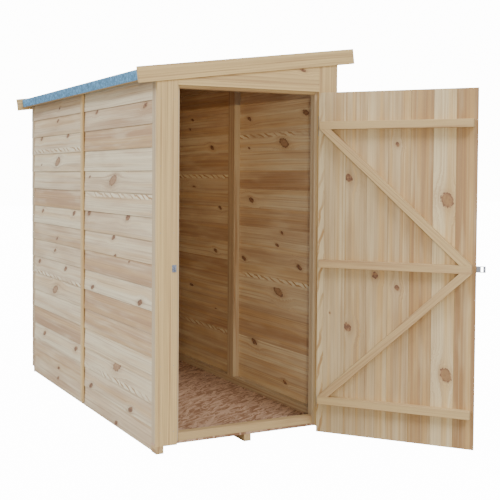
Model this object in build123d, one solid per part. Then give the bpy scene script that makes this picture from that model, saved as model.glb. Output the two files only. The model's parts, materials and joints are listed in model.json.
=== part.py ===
"""Pent shed of lapped softwood boards, with one ledged door in its narrow end."""

from build123d import *
import math
import os

os.makedirs("parts", exist_ok=True)

# Frame: +X runs from the low side to the high side, +Y from the door end to the rear end, +Z up.
# The origin is on the ground, under the middle of the centre bearer.

# Whole shed
shed_width = 900.0
shed_length = 1870.0
roof_pitch = 7.3                # degrees, rising from the low side
low_side_height = 1620.4        # ground to the underside of the roof boards, at the low side's face

# Floor
bearer_width = 35.0
bearer_height = 31.0
bearer_rear_gap = 30.0          # bearers stop this far short of the rear face
centre_bearer_gap = 16.0        # the middle one also starts this far behind the front face
floor_thickness = 11.0

# Framing timber and boards
timber = 35.0                   # square section of every stud, rail, ledge and brace
cladding_thickness = 13.0       # over the lower edge of a board
lap_step = 5.0                  # a board's upper edge lies this far behind its lower edge
board_cover = 99.6              # height that one lapped board shows
cladding_ground_gap = 4.0
trim_thickness = 16.0
trim_width = 98.0
batten_width = 30.0
batten_thickness = 10.0
batten_ground_gap = 18.0

# Doorway
header_drop = 60.4              # the header board's underside lies this far below low_side_height
side_stop = 13.0                # the door posts show this much inside the front boards
head_stop = 12.0

# Roof
roof_board_thickness = 11.0
roof_overhang = 55.0            # past each long side, along the slope
felt_thickness = 2.0
felt_drop = 45.0
bargeboard_depth = 68.0
bargeboard_thickness = 14.0
bargeboard_upstand = 5.5        # above the felt
bargeboard_front = 6.0          # the front one stands this far proud of the front face
bargeboard_low_end = 90.0       # past the low side, along the slope
bargeboard_high_end = 84.0

# Door
door_clearance = 5.0            # to the front boards beside and above it
door_thickness = 11.0
door_ground_gap = 12.5
ledge_inset = 14.0              # a ledge stops this far from the door's two long edges
low_ledge_rise = 153.5          # the door's lower edge to the bottom ledge's middle
high_ledge_drop = 150.0         # the door's upper edge to the top ledge's middle
door_open_angle = 130.0         # how far the door stands open here

# T hinges
hinge_pin_radius = 2.0
hinge_bore_gap = 0.3
hinge_barrel_radius = 4.0
hinge_pin_stand_off = 5.0       # from the front face to the pin's centre
hinge_steel = 2.0
hinge_plate_width = 30.0
hinge_plate_height = 90.0
hinge_strap_length = 280.0
hinge_strap_root = 34.0
hinge_strap_tip = 20.0
hinge_knuckle_gap = 0.6

# Hasp and staple
hasp_height = 28.0
hasp_steel = 2.0
hasp_pin_to_tip = 66.0
hasp_reach = 37.0               # the leaf passes the door's free edge by this much
hasp_barrel_radius = 3.5
hasp_pin_radius = 1.6
hasp_pin_stand_off = 6.0
hasp_plate_length = 34.0
hasp_plate_thickness = 3.0
hasp_slot_height = 22.0
hasp_slot_width = 9.0
hasp_slot_to_tip = 15.0         # the slot's centre to the leaf's tip
staple_plate_width = 20.0
staple_plate_height = 31.0
staple_wire_radius = 2.0
staple_leg_spacing = 12.0
staple_bend_radius = 4.0        # along the middle of the wire
staple_reach = 17.0             # from the front face to the loop's outer side

# Places that follow from the sizes
low_x = -shed_width / 2
high_x = shed_width / 2
front_y = -shed_length / 2
rear_y = shed_length / 2
floor_z = bearer_height + floor_thickness
pitch = math.radians(roof_pitch)
header_height = low_side_height - header_drop

frame_front_y = front_y + trim_thickness
wall_front_y = frame_front_y + timber
wall_rear_y = rear_y - cladding_thickness - timber
frame_low_x = low_x + cladding_thickness
frame_high_x = high_x - cladding_thickness
room_low_x = frame_low_x + timber
room_high_x = frame_high_x - timber

opening_low_x = low_x + trim_width
opening_high_x = high_x - trim_width
post_low_x = opening_low_x + side_stop
post_high_x = opening_high_x - side_stop

roof_front_y = front_y - bargeboard_front + bargeboard_thickness
slope_length = shed_width / math.cos(pitch)
rail_depth_z = timber / math.cos(pitch)
bargeboard_top_w = roof_board_thickness + felt_thickness + bargeboard_upstand
bargeboard_bottom_w = bargeboard_top_w - bargeboard_depth

door_hinge_x = opening_high_x - door_clearance
door_free_x = opening_low_x + door_clearance
door_top_z = header_height - door_clearance
door_inner_y = front_y + door_thickness
low_ledge_z = door_ground_gap + low_ledge_rise
high_ledge_z = door_top_z - high_ledge_drop
middle_ledge_z = (low_ledge_z + high_ledge_z) / 2
ledge_hinge_x = door_hinge_x - ledge_inset
ledge_free_x = door_free_x + ledge_inset
hinge_pin_x = (door_hinge_x + opening_high_x) / 2
hinge_pin_y = front_y - hinge_pin_stand_off
hasp_level = middle_ledge_z
hasp_tip_x = door_free_x - hasp_reach
hasp_pin_x = hasp_tip_x + hasp_pin_to_tip
hasp_pin_y = front_y - hasp_pin_stand_off
hasp_slot_x = hasp_tip_x + hasp_slot_to_tip


def block(x0, x1, y0, y1, z0, z1):
    """A square-edged piece between two opposite corners."""
    corner = (min(x0, x1), min(y0, y1), min(z0, z1))
    solid = Box(abs(x1 - x0), abs(y1 - y0), abs(z1 - z0), align=(Align.MIN, Align.MIN, Align.MIN))
    return Pos(*corner) * solid


def roof_block(u0, u1, y0, y1, w0, w1):
    """A square-edged piece on the roof: u up the slope from the low side's face, w off the boards' underside."""
    slope = Plane(
        origin=(low_x, 0, low_side_height),
        x_dir=(math.cos(pitch), 0, math.sin(pitch)),
        z_dir=(-math.sin(pitch), 0, math.cos(pitch)),
    )
    return slope.location * block(u0, u1, y0, y1, w0, w1)


def across(points, y0, y1):
    """A prism along Y from its outline in X and Z."""
    outline = Plane(origin=(0, y1, 0), x_dir=(1, 0, 0), z_dir=(0, -1, 0)) * Polygon(*points, align=None)
    return extrude(outline, amount=y1 - y0, dir=(0, -1, 0))


def under_roof(x, drop=0.0):
    """Height of the roof boards' underside at x, less a vertical drop."""
    return low_side_height + (x - low_x) * math.tan(pitch) - drop


def sloped(x0, x1, y0, y1, z0, drop=0.0):
    """An upright piece whose top is cut to the roof's slope."""
    points = [(x0, z0), (x1, z0), (x1, under_roof(x1, drop)), (x0, under_roof(x0, drop))]
    return across(points, y0, y1)


def sloped_rail(x0, x1, y0, y1, drop):
    """A rail that follows the roof's slope, with its top that far below the roof boards."""
    low_top = under_roof(x0, drop)
    high_top = under_roof(x1, drop)
    points = [(x0, low_top - rail_depth_z), (x1, high_top - rail_depth_z), (x1, high_top), (x0, low_top)]
    return across(points, y0, y1)


def lapped_outline(bottom, top):
    """Outline of a stack of lapped boards: depth behind their proudest line, and height."""
    points = [(cladding_thickness, bottom), (0.0, bottom)]
    lap_line = cladding_ground_gap
    while lap_line <= bottom:
        lap_line += board_cover
    while lap_line < top:
        points += [(lap_step, lap_line), (0.0, lap_line)]
        lap_line += board_cover
    shown = (top - (lap_line - board_cover)) / board_cover
    points += [(lap_step * shown, top), (cladding_thickness, top)]
    return points


def bearer(x0, x1, y0, notch_low, notch_high):
    """One floor bearer, notched where the long walls' boards hang over its side."""
    y1 = rear_y - bearer_rear_gap
    solid = block(x0, x1, y0, y1, 0, bearer_height)
    if notch_low:
        solid -= block(x0, frame_low_x, wall_front_y, wall_rear_y, 0, bearer_height)
    if notch_high:
        solid -= block(frame_high_x, x1, wall_front_y, wall_rear_y, 0, bearer_height)
    return solid


def floor_board():
    """The strand board on the bearers, narrower between the two end walls."""
    solid = block(low_x, high_x, frame_front_y, rear_y - cladding_thickness, bearer_height, floor_z)
    solid -= block(low_x, frame_low_x, wall_front_y, wall_rear_y, bearer_height, floor_z)
    solid -= block(frame_high_x, high_x, wall_front_y, wall_rear_y, bearer_height, floor_z)
    return solid


def side_cladding(high_side, y0, y1):
    """Lapped boards of one half of a long wall."""
    face_x = high_x if high_side else low_x
    inward = -1 if high_side else 1
    outline = lapped_outline(cladding_ground_gap, under_roof(frame_high_x if high_side else low_x))
    return across([(face_x + inward * depth, z) for depth, z in outline], y0, y1)


def side_wall(name, high_side):
    """All the pieces of one long wall."""
    face_x = high_x if high_side else low_x
    outward = 1 if high_side else -1
    x0 = room_high_x if high_side else frame_low_x
    x1 = frame_high_x if high_side else room_low_x
    stud_bottom = floor_z + timber
    stud_drop = 2 * rail_depth_z
    studs = Compound(children=[
        sloped(x0, x1, wall_front_y, wall_front_y + timber, stud_bottom, stud_drop),
        sloped(x0, x1, -timber, timber, stud_bottom, stud_drop),
        sloped(x0, x1, wall_rear_y - timber, wall_rear_y, stud_bottom, stud_drop),
    ])
    batten_top = under_roof(min(face_x, face_x + outward * batten_thickness))
    return {
        f"{name}_cladding_front": side_cladding(high_side, wall_front_y, 0),
        f"{name}_cladding_rear": side_cladding(high_side, 0, wall_rear_y),
        f"{name}_cover_batten": block(face_x, face_x + outward * batten_thickness,
                                      -batten_width / 2, batten_width / 2, batten_ground_gap, batten_top),
        f"{name}_bottom_rail": block(x0, x1, wall_front_y, wall_rear_y, floor_z, stud_bottom),
        f"{name}_top_rail": sloped_rail(x0, x1, wall_front_y, wall_rear_y, rail_depth_z),
        f"{name}_studs": studs,
    }


def front_wall():
    """The door end: three boards on a frame whose posts and head stop the door."""
    trim_drop = -bargeboard_bottom_w / math.cos(pitch)
    stud_drop = rail_depth_z
    frame = (frame_front_y, wall_front_y)
    head_bottom = header_height - head_stop
    return {
        "front_trim_low": sloped(low_x, opening_low_x, front_y, frame_front_y, bearer_height, trim_drop),
        "front_trim_high": sloped(opening_high_x, high_x, front_y, frame_front_y, bearer_height, trim_drop),
        "front_header": sloped(opening_low_x, opening_high_x, front_y, frame_front_y, header_height, trim_drop),
        "door_post_low": sloped(post_low_x - timber, post_low_x, *frame, floor_z, stud_drop),
        "door_post_high": sloped(post_high_x, post_high_x + timber, *frame, floor_z, stud_drop),
        "door_head": block(post_low_x, post_high_x, *frame, head_bottom, head_bottom + timber),
        "threshold": block(post_low_x, post_high_x, *frame, floor_z, floor_z + timber),
        "front_top_rail": sloped_rail(low_x, high_x, *frame, 0),
        "front_corner_studs": Compound(children=[
            sloped(low_x, low_x + timber, *frame, floor_z, stud_drop),
            sloped(high_x - timber, high_x, *frame, floor_z, stud_drop),
        ]),
    }


def rear_wall():
    """The closed end: lapped boards on a frame with one middle stud."""
    frame = (wall_rear_y, wall_rear_y + timber)
    stud_bottom = floor_z + timber
    outline = lapped_outline(bearer_height, under_roof(high_x))
    profile = Plane(origin=(low_x, 0, 0), x_dir=(0, 1, 0), z_dir=(1, 0, 0))
    boards = extrude(profile * Polygon(*[(rear_y - depth, z) for depth, z in outline], align=None),
                     amount=shed_width, dir=(1, 0, 0))
    boards -= roof_block(-shed_width, 2 * shed_width, rear_y - shed_length / 2, rear_y + shed_length / 2,
                         0, shed_width)
    return {
        "rear_cladding": boards,
        "rear_bottom_rail": block(low_x, high_x, *frame, floor_z, stud_bottom),
        "rear_top_rail": sloped_rail(low_x, high_x, *frame, 0),
        "rear_studs": Compound(children=[
            sloped(low_x, low_x + timber, *frame, stud_bottom, rail_depth_z),
            sloped(-timber / 2, timber / 2, *frame, stud_bottom, rail_depth_z),
            sloped(high_x - timber, high_x, *frame, stud_bottom, rail_depth_z),
        ]),
    }


def roof():
    """Boards on four rails, felt that turns down over both long edges, and two bargeboards."""
    run = (roof_front_y, rear_y)
    low_edge = -roof_overhang
    high_edge = slope_length + roof_overhang
    felt_top = roof_board_thickness + felt_thickness
    felt = roof_block(low_edge - felt_thickness, high_edge + felt_thickness, *run, roof_board_thickness, felt_top)
    felt += roof_block(low_edge - felt_thickness, low_edge, *run, felt_top - felt_drop, felt_top)
    felt += roof_block(high_edge, high_edge + felt_thickness, *run, felt_top - felt_drop, felt_top)
    barge_u = (-bargeboard_low_end, slope_length + bargeboard_high_end)
    barge_w = (bargeboard_bottom_w, bargeboard_top_w)
    return {
        "roof_boards": roof_block(low_edge, high_edge, *run, 0, roof_board_thickness),
        "roof_edge_rails": Compound(children=[
            roof_block(low_edge, low_edge + timber, *run, -timber, 0),
            roof_block(high_edge - timber, high_edge, *run, -timber, 0),
        ]),
        "roof_wall_rails": Compound(children=[
            sloped_rail(frame_low_x, room_low_x, wall_front_y, wall_rear_y, 0),
            sloped_rail(room_high_x, frame_high_x, wall_front_y, wall_rear_y, 0),
        ]),
        "roof_felt": felt,
        "bargeboard_front": roof_block(*barge_u, roof_front_y - bargeboard_thickness, roof_front_y, *barge_w),
        "bargeboard_rear": roof_block(*barge_u, rear_y, rear_y + bargeboard_thickness, *barge_w),
    }


def open_door(shape):
    """Turn a piece from the shut door's place to where the open door stands."""
    return shape.rotate(Axis((hinge_pin_x, hinge_pin_y, 0), (0, 0, 1)), door_open_angle)


def ledge(level):
    """One ledge across the inside of the shut door."""
    return block(ledge_free_x, ledge_hinge_x, door_inner_y, door_inner_y + timber,
                 level - timber / 2, level + timber / 2)


def brace(outer_z, middle_z):
    """One brace from a ledge at the hinge side to the middle ledge at the free side."""
    rise = abs(outer_z - middle_z)
    run = ledge_hinge_x - ledge_free_x
    # A brace of this cut has the timber's width: cut = timber / sin(slope), solved in a few turns
    cut = timber
    for _ in range(20):
        cut = timber * math.hypot(rise, run - cut) / rise
    points = [(ledge_hinge_x, outer_z), (ledge_hinge_x - cut, outer_z),
              (ledge_free_x, middle_z), (ledge_free_x + cut, middle_z)]
    return across(points, door_inner_y, door_inner_y + timber)


def knuckle(x, y, radius, z0, z1):
    """A round length of hinge barrel or pin."""
    return Pos(x, y, z0) * Cylinder(radius, z1 - z0, align=(Align.CENTER, Align.CENTER, Align.MIN))


def hinge_strap(level):
    """The door's half of one T hinge: a tapered strap and its middle knuckle."""
    half_knuckle = hinge_strap_root / 2
    root_x = hinge_pin_x
    tip_x = hinge_pin_x - hinge_strap_length
    points = [(root_x, level - hinge_strap_root / 2), (root_x, level + hinge_strap_root / 2),
              (tip_x, level + hinge_strap_tip / 2), (tip_x, level - hinge_strap_tip / 2)]
    strap = across(points, front_y - hinge_steel, front_y)
    strap += knuckle(hinge_pin_x, hinge_pin_y, hinge_barrel_radius, level - half_knuckle, level + half_knuckle)
    strap -= knuckle(hinge_pin_x, hinge_pin_y, hinge_pin_radius + hinge_bore_gap,
                     level - half_knuckle, level + half_knuckle)
    return strap


def hinge_plate(level):
    """The post's half of one T hinge: a plate, its two knuckles and the pin."""
    half_plate = hinge_plate_height / 2
    half_middle = hinge_strap_root / 2 + hinge_knuckle_gap
    edge_x = hinge_pin_x
    plate = block(edge_x, edge_x + hinge_plate_width, front_y - hinge_steel, front_y,
                  level - half_plate, level + half_plate)
    # The plate stands back from the strap's knuckle
    clear_x = edge_x + hinge_barrel_radius + hinge_knuckle_gap
    plate -= block(edge_x, clear_x, front_y - hinge_steel, front_y, level - half_middle, level + half_middle)
    plate += knuckle(hinge_pin_x, hinge_pin_y, hinge_barrel_radius, level - half_plate, level - half_middle)
    plate += knuckle(hinge_pin_x, hinge_pin_y, hinge_barrel_radius, level + half_middle, level + half_plate)
    plate += knuckle(hinge_pin_x, hinge_pin_y, hinge_pin_radius, level - half_plate, level + half_plate)
    return plate


def hasp_plate():
    """The hasp's fixed plate on the door's outer face, with its two end knuckles and the pin."""
    z0 = hasp_level - hasp_height / 2
    z1 = hasp_level + hasp_height / 2
    third = hasp_height / 3
    plate = block(hasp_pin_x, hasp_pin_x + hasp_plate_length, front_y - hasp_plate_thickness, front_y, z0, z1)
    plate += knuckle(hasp_pin_x, hasp_pin_y, hasp_barrel_radius, z0, z0 + third)
    plate += knuckle(hasp_pin_x, hasp_pin_y, hasp_barrel_radius, z1 - third, z1)
    plate -= knuckle(hasp_pin_x, hasp_pin_y, hasp_barrel_radius + hinge_knuckle_gap, z0 + third, z1 - third)
    plate += knuckle(hasp_pin_x, hasp_pin_y, hasp_pin_radius, z0, z1)
    return plate


def hasp_leaf():
    """The hasp's swinging leaf, which passes the door's edge and has the slot for the staple."""
    z0 = hasp_level - hasp_height / 2
    z1 = hasp_level + hasp_height / 2
    third = hasp_height / 3 + hinge_knuckle_gap
    outer_y = hasp_pin_y - hasp_barrel_radius
    inner_y = outer_y + hasp_steel
    root_x = hasp_pin_x - hasp_barrel_radius - hinge_knuckle_gap
    leaf = block(hasp_tip_x, root_x, outer_y, inner_y, z0, z1)
    leaf += block(root_x, hasp_pin_x, outer_y, inner_y, z0 + third, z1 - third)
    leaf += knuckle(hasp_pin_x, hasp_pin_y, hasp_barrel_radius, z0 + third, z1 - third)
    leaf -= knuckle(hasp_pin_x, hasp_pin_y, hasp_pin_radius + hinge_bore_gap, z0, z1)
    leaf -= block(hasp_slot_x - hasp_slot_width / 2, hasp_slot_x + hasp_slot_width / 2, outer_y, inner_y,
                  hasp_level - hasp_slot_height / 2, hasp_level + hasp_slot_height / 2)
    return leaf


def hasp_staple():
    """The staple on the front board that the hasp's slot closes over."""
    half_plate = staple_plate_height / 2
    plate = block(hasp_slot_x - staple_plate_width / 2, hasp_slot_x + staple_plate_width / 2,
                  front_y - hasp_steel, front_y, hasp_level - half_plate, hasp_level + half_plate)
    root_y = front_y - hasp_steel / 2
    loop_y = front_y - staple_reach + staple_wire_radius
    low_z = hasp_level - staple_leg_spacing / 2
    high_z = hasp_level + staple_leg_spacing / 2
    route = FilletPolyline((hasp_slot_x, root_y, low_z), (hasp_slot_x, loop_y, low_z),
                           (hasp_slot_x, loop_y, high_z), (hasp_slot_x, root_y, high_z),
                           radius=staple_bend_radius)
    section = Plane(origin=(hasp_slot_x, root_y, low_z), z_dir=(0, -1, 0)) * Circle(staple_wire_radius)
    return plate + sweep(section, path=route)


def door():
    """The boards, ledges, braces and hinge straps that swing together, and the hasp on them."""
    half = timber / 2
    shut = {
        "door_boards": block(door_free_x, door_hinge_x, front_y, door_inner_y, door_ground_gap, door_top_z),
        "door_ledge_bottom": ledge(low_ledge_z),
        "door_ledge_middle": ledge(middle_ledge_z),
        "door_ledge_top": ledge(high_ledge_z),
        "door_brace_lower": brace(low_ledge_z + half, middle_ledge_z - half),
        "door_brace_upper": brace(high_ledge_z - half, middle_ledge_z + half),
        "hinge_strap_bottom": hinge_strap(low_ledge_z),
        "hinge_strap_top": hinge_strap(high_ledge_z),
        "hasp_plate": hasp_plate(),
        "hasp_leaf": hasp_leaf(),
    }
    return {name: open_door(shape) for name, shape in shut.items()}


pieces = {
    "bearer_low": bearer(low_x, low_x + bearer_width, front_y, True, False),
    "bearer_centre": bearer(-bearer_width / 2, bearer_width / 2, front_y + centre_bearer_gap, False, False),
    "bearer_high": bearer(high_x - bearer_width, high_x, front_y, False, True),
    "floor_board": floor_board(),
    **side_wall("low_wall", False),
    **side_wall("high_wall", True),
    **front_wall(),
    **rear_wall(),
    **roof(),
    **door(),
    "hinge_plate_bottom": hinge_plate(low_ledge_z),
    "hinge_plate_top": hinge_plate(high_ledge_z),
    "hasp_staple": hasp_staple(),
}

for name, shape in pieces.items():
    export_step(shape, f"parts/{name}.step")
print(len(pieces), "pieces")
print("door pin", hinge_pin_x, hinge_pin_y)
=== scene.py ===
"""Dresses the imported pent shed: lapped boards, framing, felt, floor, fittings and a studio stage."""

import json
import math

import bmesh
import bpy
import numpy as np
from bpy.props import FloatProperty, FloatVectorProperty, PointerProperty
from mathutils import Matrix, Vector


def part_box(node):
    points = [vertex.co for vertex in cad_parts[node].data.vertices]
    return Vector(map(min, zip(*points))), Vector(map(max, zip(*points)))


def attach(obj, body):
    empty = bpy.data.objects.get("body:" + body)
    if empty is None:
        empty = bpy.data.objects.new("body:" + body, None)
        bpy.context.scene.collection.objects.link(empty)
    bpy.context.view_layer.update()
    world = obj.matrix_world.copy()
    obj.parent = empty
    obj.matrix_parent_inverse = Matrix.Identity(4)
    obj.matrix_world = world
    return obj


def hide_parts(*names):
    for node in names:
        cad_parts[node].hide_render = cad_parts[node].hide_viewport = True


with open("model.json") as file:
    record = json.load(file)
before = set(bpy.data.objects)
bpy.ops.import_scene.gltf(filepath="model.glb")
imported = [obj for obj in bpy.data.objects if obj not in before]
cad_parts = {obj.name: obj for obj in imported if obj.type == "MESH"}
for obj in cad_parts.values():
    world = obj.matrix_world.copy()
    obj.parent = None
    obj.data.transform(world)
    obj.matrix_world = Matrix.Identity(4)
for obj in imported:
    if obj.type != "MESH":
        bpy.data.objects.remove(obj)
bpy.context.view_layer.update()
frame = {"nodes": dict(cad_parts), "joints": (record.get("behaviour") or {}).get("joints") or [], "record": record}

bl_info = {
    "name": "Pent shed",
    "version": (1, 0, 0),
    "blender": (4, 5, 0),
    "location": "View3D > Sidebar > Shed",
    "description": "Dresses a pent shed with lapped boards, felt, fittings and a studio stage",
    "category": "Object",
}

# Places read from the frame, in metres
REAR_CORNER, REAR_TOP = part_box("rear_cladding")
LOW_X, HIGH_X = REAR_CORNER.x, REAR_TOP.x
LOW_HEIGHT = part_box("low_wall_cladding_front")[1].z
ROOF_SLOPE = (REAR_TOP.z - LOW_HEIGHT) / (HIGH_X - LOW_X)
PITCH = math.atan(ROOF_SLOPE)
BOARD_DEPTH = REAR_TOP.y - REAR_CORNER.y
HINGE = frame["joints"][0]
DOOR_PIN = np.array(HINGE.get("pos_m"), float)
OPEN_ANGLE = math.radians(-HINGE["range_deg"][0])
SEED = 17

# Number of the outline's point where a lapped board's face ends
FACE_TOP = 4
ALONG_X, ALONG_Y, UPRIGHT = (1.0, 0.0, 0.0), (0.0, 1.0, 0.0), (0.0, 0.0, 1.0)
UP_ROOF = (math.cos(PITCH), 0.0, math.sin(PITCH))
OFF_ROOF = (-math.sin(PITCH), 0.0, math.cos(PITCH))
# Sections along each lapped board, and the height below which none is left under the roof
STATIONS, LEAST_BOARD = 25, 0.004
# Range of the place along the grain at which a board's pattern starts, and how far the patterns of
# lapped and of matched boards and of framing are shifted across
GRAIN_START = (3.0, 60.0)
WALL_SHIFT, MATCHED_SHIFT, FRAMING_SHIFT = 0.05, 0.04, 0.02

# How much heartwood each lapped board has, from the ground up
WALL_TONES = {
    "boards_low_front": (0.45, 0.40, 0.30, 0.15, 0.65, 0.95, 0.02, 0.75, 0.35, 0.45, 0.30, 0.30, 0.05,
                         0.80, 0.60, 0.25, 0.55),
    "boards_low_rear": (0.45, 0.60, 0.12, 0.85, 0.30, 0.35, 0.40, 0.45, 0.60, 0.05, 0.85, 0.35, 0.12,
                        0.30, 0.45, 0.55, 0.55),
    "boards_high_front": (0.50, 0.45, 0.25, 0.80, 0.55, 0.35, 0.40, 0.45, 0.50, 0.65, 0.35, 0.75, 0.20,
                          0.30, 0.40, 0.50, 0.50),
    "boards_high_rear": (0.50, 0.55, 0.60, 0.80, 0.60, 0.60, 0.90, 0.30, 0.70, 0.50, 0.45, 0.40, 0.80,
                         0.30, 0.55, 0.70, 0.60),
}
# Heights of the lines of dashed figure in each wall
WALL_FIGURES = {
    "boards_low_front": (0.218, 1.085),
    "boards_low_rear": (0.610, 1.315),
    "boards_high_front": (0.647, 1.390),
    "boards_high_rear": (0.300, 1.175),
}
# The knots that stand out in each wall, as place along it, height and half height
WALL_KNOTS = {
    "boards_low_front": (
        (-0.80, 1.480, 0.012), (-0.19, 1.486, 0.010), (-0.416, 1.155, 0.026), (-0.09, 1.171, 0.006),
        (-0.08, 0.990, 0.015), (-0.60, 0.990, 0.016), (-0.417, 0.887, 0.012), (-0.45, 0.803, 0.009),
        (-0.615, 0.790, 0.006), (-0.75, 0.622, 0.015), (-0.135, 0.622, 0.012), (-0.465, 0.288, 0.026),
        (-0.114, 0.125, 0.014), (-0.643, 0.125, 0.014), (-0.465, 0.022, 0.011)),
    "boards_low_rear": (
        (0.40, 1.542, 0.007), (0.435, 1.476, 0.009), (0.745, 1.388, 0.012), (0.26, 1.388, 0.012),
        (0.435, 1.252, 0.024), (0.74, 1.237, 0.006), (0.72, 0.972, 0.011), (0.158, 0.979, 0.013),
        (0.445, 0.828, 0.008), (0.486, 0.760, 0.010), (0.787, 0.674, 0.013), (0.30, 0.674, 0.013),
        (0.48, 0.541, 0.024), (0.688, 0.264, 0.014), (0.13, 0.268, 0.014), (0.415, 0.113, 0.009),
        (0.43, 0.055, 0.009)),
    "boards_high_front": (
        (-0.137, 1.484, 0.012), (-0.69, 1.485, 0.015), (-0.493, 1.345, 0.024), (-0.137, 1.327, 0.006),
        (-0.165, 1.050, 0.014), (-0.479, 0.892, 0.008), (-0.434, 0.827, 0.009), (-0.09, 0.731, 0.013),
        (-0.643, 0.733, 0.013), (-0.448, 0.592, 0.024), (-0.205, 0.296, 0.016), (-0.52, 0.141, 0.009)),
    "boards_high_rear": (
        (0.30, 1.340, 0.013), (0.53, 1.103, 0.016), (0.197, 0.998, 0.011), (0.56, 1.512, 0.010),
        (0.595, 1.458, 0.007), (0.25, 0.749, 0.012), (0.56, 0.510, 0.014), (0.238, 0.407, 0.010)),
}
# Half heights up to which a knot is solid, and from which it is oval with a dark rim
SOLID_KNOT, LARGE_KNOT = 0.019, 0.022
KNOT_SIZES = (0.008, 0.013, 0.022)
NO_KNOT = (90.0, 90.0, 0.001)
# How far a wall's knots lean along the grain, and the half width of its lines of figure, with a minus
# because their dashes lean the other way
KNOT_LEAN, WALL_FIGURE_WIDTH = 0.9, -0.013
NO_FIGURE = 90.0

# How far the bent grain and the halo reach round a knot, in its half sizes
BEND_REACH, HALO_REACH = 4.5, 2.8
# Waves per metre along and across the grain of each marking in wood
WOBBLE_WAVES, SWAY_WAVES, STREAK_WAVES = (60.0, 75.0), (1.4, 4.0), (1.1, 125.0)
BAND_WAVES, GLOW_WAVES, PATCH_WAVES = (1.2, 19.0), (0.35, 34.0), (2.6, 20.0)
FIBRE_WAVES, FADE_WAVES, DRIFT_WAVES = (14.0, 620.0), 2.6, 9.0
# How far the grain sways, and how deep and how close the growth rings lie
SWAY, HEART_DEPTH, RINGS_PER_METRE = 0.014, 0.050, 170.0
# The pale dashes' brightness over the sapwood's
FIGURE_GLEAM = (1.06, 1.10, 1.16, 1.0)
# Strength of the bump that wood's height gives and its depth, and the depth of the sheets' bump
WOOD_BUMP, SHEET_BUMP_DEPTH = (0.35, 0.0006), 0.0008
# Direction and offset of each layer of flakes, from the lowest up, and the flakes per metre
STRAND_LAYERS = ((1.45, 0.0), (2.70, 5.3), (0.85, 11.9), (0.50, 23.1))
FLAKES_ALONG, FLAKES_ACROSS = 16.0, 110.0
WARP_WAVES, SPECK_WAVES = (16.0, 16.0), (260.0, 260.0)
GRANULES_PER_METRE, MOTTLES_PER_METRE, CRYSTALS_PER_METRE = 620.0, 70.0, 210.0
# Sides of a nail's or screw's head, its rings as width and height over its radius, and a direction
# that no head faces
HEAD_SIDES, HEAD_RINGS = 10, ((1.0, 0.0), (0.92, 0.20), (0.55, 0.34))
NO_NORMAL = (0.3, 0.5, 0.81)


def length(name, description, value):
    """One length in metres that a user can change."""
    return FloatProperty(name=name, description=description, default=value, unit="LENGTH")


class ShedSizes(bpy.types.PropertyGroup):
    """Sizes that the frame doesn't give."""

    board_cover: length("Board cover", "Height that one lapped board shows", 0.0996)
    lap_step: length("Lap step", "Depth of the step at each lap", 0.005)
    first_lap: length("First lap", "Height of the lowest lap line above the ground", 0.004)
    door_board: length("Door board", "Cover width of one upright door board", 0.096)
    door_first: length("First door board", "Width of the cut board at the hinges", 0.030)
    roof_board: length("Roof board", "Cover width of one roof board", 0.112)
    overlap: length("Overlap", "Height of a lapped board's hidden tongue", 0.008)
    joint: length("Board joint", "Half width of the open joint between boards", 0.0003)
    edge: length("Eased edge", "Rounding of sawn timber edges", 0.0012)
    metal_edge: length("Metal edge", "Rounding of pressed steel edges", 0.0004)
    nail: length("Nail head", "Radius of a nail's head", 0.0016)
    screw: length("Screw head", "Radius of a screw's head", 0.0036)
    felt_fold: length("Felt fold", "Outer radius where the felt turns down", 0.007)


def colour(name, description, value):
    """One colour that a user can change."""
    return FloatVectorProperty(name=name, description=description, subtype="COLOR", size=3,
                               min=0.0, max=1.0, default=value)


class ShedColours(bpy.types.PropertyGroup):
    """Colours of the finishes, in linear light."""

    sapwood: colour("Sapwood", "Pale part of the boards", (0.86, 0.775, 0.57))
    heartwood: colour("Heartwood", "Pinkish brown part of the boards", (0.48, 0.31, 0.185))
    warm: colour("Warm wood", "Yellow bands in the boards", (0.70, 0.50, 0.255))
    latewood: colour("Latewood", "Dark lines of the growth rings", (0.34, 0.19, 0.10))
    knot: colour("Knot", "Knots", (0.16, 0.075, 0.05))
    trim: colour("Trim", "Planed corner boards and bargeboards", (0.77, 0.59, 0.28))
    door_pale: colour("Pale door wood", "Pale part of the door's boards", (0.72, 0.61, 0.385))
    door_brown: colour("Brown door wood", "Brown part of the door's boards", (0.36, 0.215, 0.10))
    door_warm: colour("Yellow door wood", "Yellow bands in the door's boards", (0.62, 0.42, 0.18))
    framing: colour("Framing", "Sawn bearers, threshold, ledges and braces", (0.60, 0.455, 0.225))
    studs: colour("Studs", "Sawn studs, door posts and inside rails", (0.58, 0.51, 0.36))
    roof: colour("Roof wood", "Roof boards", (0.56, 0.27, 0.115))
    strand_light: colour("Light strand", "Pale strands of the floor board", (0.58, 0.40, 0.28))
    strand_dark: colour("Dark strand", "Dark strands of the floor board", (0.26, 0.14, 0.08))
    felt: colour("Felt", "Mineral granules", (0.115, 0.30, 0.515))
    steel: colour("Steel", "Galvanised steel", (0.35, 0.41, 0.56))
    stage: colour("Stage", "Studio floor", (0.30, 0.30, 0.30))


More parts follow.
